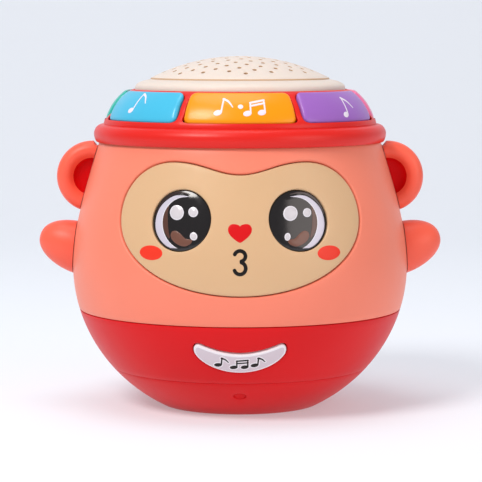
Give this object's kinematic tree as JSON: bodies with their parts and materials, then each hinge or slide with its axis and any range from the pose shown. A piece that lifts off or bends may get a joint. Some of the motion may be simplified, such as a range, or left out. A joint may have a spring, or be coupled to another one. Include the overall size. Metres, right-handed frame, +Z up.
{
  "type": "toy musical hand drum",
  "caption": "Round monkey-faced toy drum with a domed tapping head, a ring of sound keys, a smile-shaped play key and a battery door.",
  "frame": {"origin": "centre of the flat foot that the toy stands on, at floor height", "axes": "+Z up; the face looks along -Y; +X is to the right when looking at the face"},
  "size_m": [0.1646, 0.137, 0.1423],
  "materials": {
    "coral": "satin",
    "red": "satin",
    "rim_red": "satin",
    "cream": "matte, with printed round holes",
    "skin": "satin",
    "eye_black": "gloss",
    "white": "satin",
    "lens": "gloss",
    "silicone": "matte",
    "board": "satin",
    "black": "satin",
    "steel": "plain",
    "cell": "gloss",
    "key_orange": "gloss",
    "key_purple": "gloss",
    "key_pink": "gloss",
    "key_yellow": "gloss",
    "key_green": "gloss",
    "key_teal": "gloss",
    "key_blue": "gloss"
  },
  "bodies": {
    "casing": {"base_cover": "red", "lower_shell": "red", "front_shell": "coral", "rear_shell": "coral", "rim_ring": "rim_red", "face_plate": "skin", "eye_left": "eye_black", "eye_right": "eye_black", "ear_left": "coral", "ear_right": "coral", "arm_left": "coral", "arm_right": "coral", "battery_contact_left": "steel", "battery_contact_right": "steel", "key_board": "board", "deck": "white", "drum_spring_1": "steel", "drum_spring_2": "steel", "drum_spring_3": "steel", "drum_switch": "black", "lamp_1": "lens", "lamp_2": "lens", "speaker_frame": "steel", "speaker_magnet": "steel", "speaker_cone": "black", "music_pad": "silicone", "music_board": "board", "volume_switch_body": "black", "main_board": "board", "sound_chip": "black", "battery_tray": "white", "battery_1": "cell", "battery_2": "cell", "battery_3": "cell", "key_pad_orange": "silicone", "key_pad_purple": "silicone", "key_pad_pink": "silicone", "key_pad_yellow": "silicone", "key_pad_green": "silicone", "key_pad_teal": "silicone", "key_pad_blue": "silicone", "base_screw_1": "steel", "base_screw_2": "steel", "base_screw_3": "steel", "shell_screw_upper_left": "steel", "shell_screw_upper_right": "steel", "shell_screw_lower_left": "steel", "shell_screw_lower_right": "steel"},
    "key_orange": {"key_orange": "key_orange"},
    "key_purple": {"key_purple": "key_purple"},
    "key_pink": {"key_pink": "key_pink"},
    "key_yellow": {"key_yellow": "key_yellow"},
    "key_green": {"key_green": "key_green"},
    "key_teal": {"key_teal": "key_teal"},
    "key_blue": {"key_blue": "key_blue"},
    "drum_head": {"drum_head": "cream"},
    "music_key": {"music_key": "white"},
    "volume_knob": {"volume_switch_knob": "white"},
    "battery_door": {"battery_door": "coral", "door_screw": "steel"}
  },
  "joints": [
    {"name": "key_orange_press", "type": "slide", "parent": "casing", "child": "key_orange", "axis": [0, 0, -1], "range_m": [0, 0.0015], "stiffness_N_per_m": 600, "springref_m": -0.0006, "deforming": ["key_pad_orange"]},
    {"name": "key_purple_press", "type": "slide", "parent": "casing", "child": "key_purple", "axis": [0, 0, -1], "range_m": [0, 0.0015], "stiffness_N_per_m": 600, "springref_m": -0.0006, "deforming": ["key_pad_purple"]},
    {"name": "key_pink_press", "type": "slide", "parent": "casing", "child": "key_pink", "axis": [0, 0, -1], "range_m": [0, 0.0015], "stiffness_N_per_m": 600, "springref_m": -0.0006, "deforming": ["key_pad_pink"]},
    {"name": "key_yellow_press", "type": "slide", "parent": "casing", "child": "key_yellow", "axis": [0, 0, -1], "range_m": [0, 0.0015], "stiffness_N_per_m": 600, "springref_m": -0.0006, "deforming": ["key_pad_yellow"]},
    {"name": "key_green_press", "type": "slide", "parent": "casing", "child": "key_green", "axis": [0, 0, -1], "range_m": [0, 0.0015], "stiffness_N_per_m": 600, "springref_m": -0.0006, "deforming": ["key_pad_green"]},
    {"name": "key_teal_press", "type": "slide", "parent": "casing", "child": "key_teal", "axis": [0, 0, -1], "range_m": [0, 0.0015], "stiffness_N_per_m": 600, "springref_m": -0.0006, "deforming": ["key_pad_teal"]},
    {"name": "key_blue_press", "type": "slide", "parent": "casing", "child": "key_blue", "axis": [0, 0, -1], "range_m": [0, 0.0015], "stiffness_N_per_m": 600, "springref_m": -0.0006, "deforming": ["key_pad_blue"]},
    {"name": "drum_head_press", "type": "slide", "parent": "casing", "child": "drum_head", "axis": [0, 0, -1], "range_m": [0, 0.002], "stiffness_N_per_m": 900, "springref_m": -0.0012, "deforming": ["drum_spring_1", "drum_spring_2", "drum_spring_3"]},
    {"name": "music_key_press", "type": "slide", "parent": "casing", "child": "music_key", "axis": [0, 0.8641, 0.5033], "range_m": [0, 0.0012], "stiffness_N_per_m": 600, "springref_m": -0.0006, "deforming": ["music_pad"]},
    {"name": "volume_slide", "type": "slide", "parent": "casing", "child": "volume_knob", "axis": [-1, 0, 0], "range_m": [0, 0.006]},
    {"name": "battery_door_swing", "type": "hinge", "parent": "casing", "child": "battery_door", "pos_m": [0, 0.0621, 0.092], "axis": [1, 0, 0], "range_deg": [0, 75]}
  ]
}
